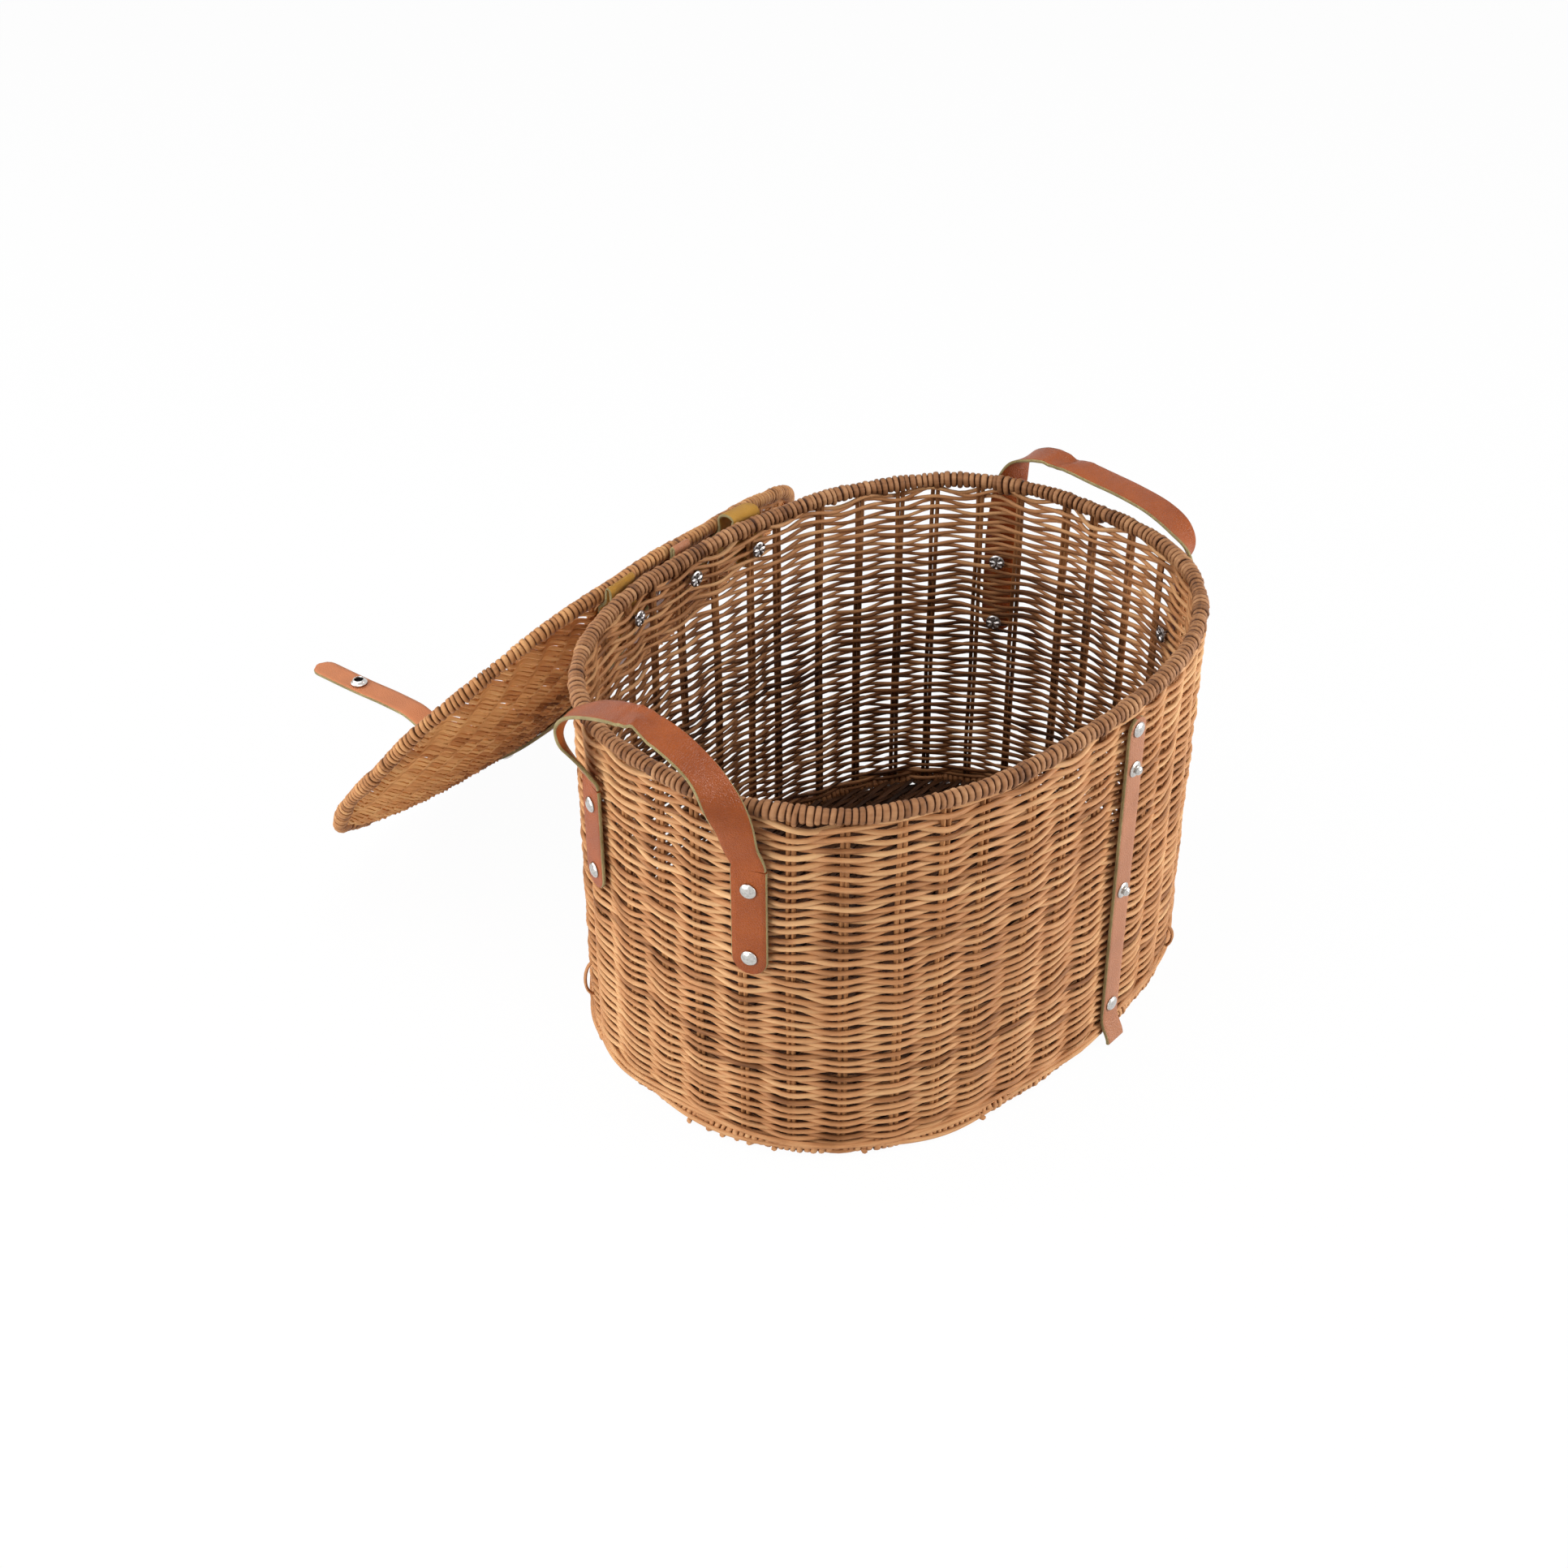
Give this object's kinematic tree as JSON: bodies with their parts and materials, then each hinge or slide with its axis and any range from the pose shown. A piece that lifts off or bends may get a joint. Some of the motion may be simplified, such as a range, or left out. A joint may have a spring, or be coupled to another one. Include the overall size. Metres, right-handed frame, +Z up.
{
  "type": "lidded storage basket",
  "caption": "Oval woven rattan basket with a domed hinged lid, leather loop handles, leather hinges and a snap strap closure, shown open.",
  "frame": {"origin": "centre of the oval base on its flat underside", "axes": "+Z up, X along the basket from handle to handle, -Y the front with the closure, +Y the hinge side"},
  "size_m": [0.4626, 0.7122, 0.2915],
  "materials": {
    "rattan": "satin",
    "cane_binding": "satin",
    "leather": "satin",
    "suede": "matte",
    "nickel": "polished"
  },
  "bodies": {
    "basket": {"left_tab_front": "leather", "left_tab_front_rivet_upper": "nickel", "left_tab_front_rivet_lower": "nickel", "left_tab_back": "leather", "left_tab_back_rivet_upper": "nickel", "left_tab_back_rivet_lower": "nickel", "right_tab_front": "leather", "right_tab_front_rivet_upper": "nickel", "right_tab_front_rivet_lower": "nickel", "right_tab_back": "leather", "right_tab_back_rivet_upper": "nickel", "right_tab_back_rivet_lower": "nickel", "front_strap": "leather", "front_rivet_top": "nickel", "front_rivet_bottom": "nickel", "snap_stud_upper": "nickel", "snap_stud_lower": "nickel", "hinge_left_wall_rivet": "nickel", "hinge_middle_wall_rivet": "nickel", "hinge_right_wall_rivet": "nickel", "wall": "rattan", "rim": "cane_binding", "base_ring": "cane_binding", "base_mat": "rattan", "hinge_left": "suede", "hinge_middle": "suede", "hinge_right": "suede"},
    "lid": {"hinge_left_lid_rivet": "nickel", "hinge_middle_lid_rivet": "nickel", "hinge_right_lid_rivet": "nickel", "lid_strap": "leather", "lid_strap_rivet_back": "nickel", "lid_strap_rivet_front": "nickel", "lid_mat": "rattan", "lid_ring": "cane_binding"},
    "tongue": {"tongue": "leather", "snap_socket": "nickel"},
    "left_handle": {"left_handle": "leather"},
    "right_handle": {"right_handle": "leather"}
  },
  "joints": [
    {"name": "lid_hinge", "type": "hinge", "parent": "basket", "child": "lid", "pos_m": [-0.011, 0.1637, 0.2546], "axis": [0.994, 0.1097, 0], "range_deg": [0, 230.74], "deforming": ["hinge_left", "hinge_middle", "hinge_right"]},
    {"name": "tongue_fold", "type": "hinge", "parent": "lid", "child": "tongue", "pos_m": [-0.0457, 0.36459, 0.00348], "axis": [0.9787, 0.1966, 0.0594], "range_deg": [0, 36.72]},
    {"name": "left_handle_swing", "type": "hinge", "parent": "basket", "child": "left_handle", "pos_m": [-0.20266, 0, 0.208], "axis": [0, -1, 0], "range_deg": [0, 55]},
    {"name": "right_handle_swing", "type": "hinge", "parent": "basket", "child": "right_handle", "pos_m": [0.19741, 0, 0.203], "axis": [0, 1, 0], "range_deg": [0, 55]}
  ]
}
